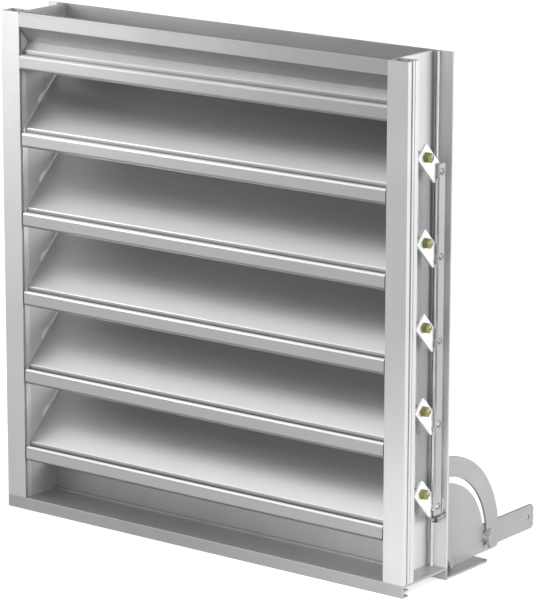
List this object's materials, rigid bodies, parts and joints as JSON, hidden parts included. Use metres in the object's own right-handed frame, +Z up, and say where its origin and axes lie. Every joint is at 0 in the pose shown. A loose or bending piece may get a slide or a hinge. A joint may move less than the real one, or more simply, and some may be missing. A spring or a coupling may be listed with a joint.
{
  "type": "adjustable blade louver",
  "caption": "Adjustable aluminium blade louver in a channel frame, with sloping drainable blades on hexagonal axles, linked by cranks and a bar to a hand quadrant.",
  "frame": {"origin": "bottom centre of the whole part's box, with the sill's feet at Z 0", "axes": "+Z up, front of the louver faces -Y, linkage side at +X"},
  "size_m": [0.68, 0.347, 0.704],
  "materials": {
    "frame": "satin mill",
    "blade": "satin mill",
    "axle": "olive zinc plate",
    "bearing": "moulded",
    "crank": "bright plate",
    "swivel": "dark plate",
    "quadrant": "galvanised",
    "link": "galvanised",
    "fastener": "bright zinc"
  },
  "bodies": {
    "frame": {"left_jamb": "frame", "right_jamb": "frame", "head": "frame", "head_stop": "frame", "sill": "frame", "sill_stop": "frame", "frame_screws": "fastener", "quadrant_bracket": "quadrant", "bracket_screws": "fastener"},
    "blade_1": {"blade_1": "blade", "drive_axle_1": "axle", "stub_axle_1": "axle", "right_bearing_1": "bearing", "left_bearing_1": "bearing", "crank_1": "crank"},
    "blade_2": {"blade_2": "blade", "drive_axle_2": "axle", "stub_axle_2": "axle", "right_bearing_2": "bearing", "left_bearing_2": "bearing", "crank_2": "crank"},
    "blade_3": {"blade_3": "blade", "drive_axle_3": "axle", "stub_axle_3": "axle", "right_bearing_3": "bearing", "left_bearing_3": "bearing", "crank_3": "crank"},
    "blade_4": {"blade_4": "blade", "drive_axle_4": "axle", "stub_axle_4": "axle", "right_bearing_4": "bearing", "left_bearing_4": "bearing", "crank_4": "crank"},
    "blade_5": {"blade_5": "blade", "drive_axle_5": "axle", "stub_axle_5": "axle", "right_bearing_5": "bearing", "left_bearing_5": "bearing", "crank_5": "crank"},
    "link": {"link_bar": "link", "link_spacers": "fastener", "crank_pins": "fastener", "rod_swivel": "swivel", "swivel_screw": "swivel", "drive_rod": "link"},
    "drop_link": {"drop_link": "quadrant"},
    "lever": {"hand_lever": "quadrant", "lever_shaft": "fastener", "drive_arm": "quadrant", "arm_pin": "fastener", "clamp_bolt": "fastener", "clamp_washer": "fastener"},
    "wing_nut": {"wing_nut": "fastener"}
  },
  "joints": [
    {"name": "blade_1_pivot", "type": "hinge", "parent": "frame", "child": "blade_1", "pos_m": [0, -0.1205, 0.574], "axis": [1, 0, 0], "range_deg": [0, 36]},
    {"name": "blade_2_pivot", "type": "hinge", "parent": "frame", "child": "blade_2", "pos_m": [0, -0.1205, 0.4625], "axis": [1, 0, 0], "range_deg": [0, 36]},
    {"name": "blade_3_pivot", "type": "hinge", "parent": "frame", "child": "blade_3", "pos_m": [0, -0.1205, 0.351], "axis": [1, 0, 0], "range_deg": [0, 36]},
    {"name": "blade_4_pivot", "type": "hinge", "parent": "frame", "child": "blade_4", "pos_m": [0, -0.1205, 0.2395], "axis": [1, 0, 0], "range_deg": [0, 36]},
    {"name": "blade_5_pivot", "type": "hinge", "parent": "frame", "child": "blade_5", "pos_m": [0, -0.1205, 0.128], "axis": [1, 0, 0], "range_deg": [0, 36]},
    {"name": "link_pivot", "type": "hinge", "parent": "blade_1", "child": "link", "pos_m": [0.3319, -0.09271, 0.55173], "axis": [1, 0, 0], "range_deg": [-36, 0]},
    {"name": "lever_pivot", "type": "hinge", "parent": "frame", "child": "lever", "pos_m": [0.316, -0.0495, 0.024], "axis": [1, 0, 0], "range_deg": [0, 78]},
    {"name": "drop_link_pivot", "type": "hinge", "parent": "lever", "child": "drop_link", "pos_m": [0.32, -0.04068, 0.0089], "axis": [1, 0, 0], "range_deg": [-78, 0]},
    {"name": "wing_nut_turn", "type": "hinge", "parent": "lever", "child": "wing_nut", "pos_m": [0.316, 0.0508, 0.024], "axis": [1, 0, 0], "continuous": true}
  ],
  "couplings": [
    {"joint": "blade_2_pivot", "follows": "blade_1_pivot", "ratio": 1},
    {"joint": "blade_3_pivot", "follows": "blade_1_pivot", "ratio": 1},
    {"joint": "blade_4_pivot", "follows": "blade_1_pivot", "ratio": 1},
    {"joint": "blade_5_pivot", "follows": "blade_1_pivot", "ratio": 1},
    {"joint": "link_pivot", "follows": "blade_1_pivot", "ratio": -1},
    {"joint": "lever_pivot", "follows": "blade_1_pivot", "ratio": 2.1667},
    {"joint": "drop_link_pivot", "follows": "blade_1_pivot", "ratio": -2.1667}
  ]
}
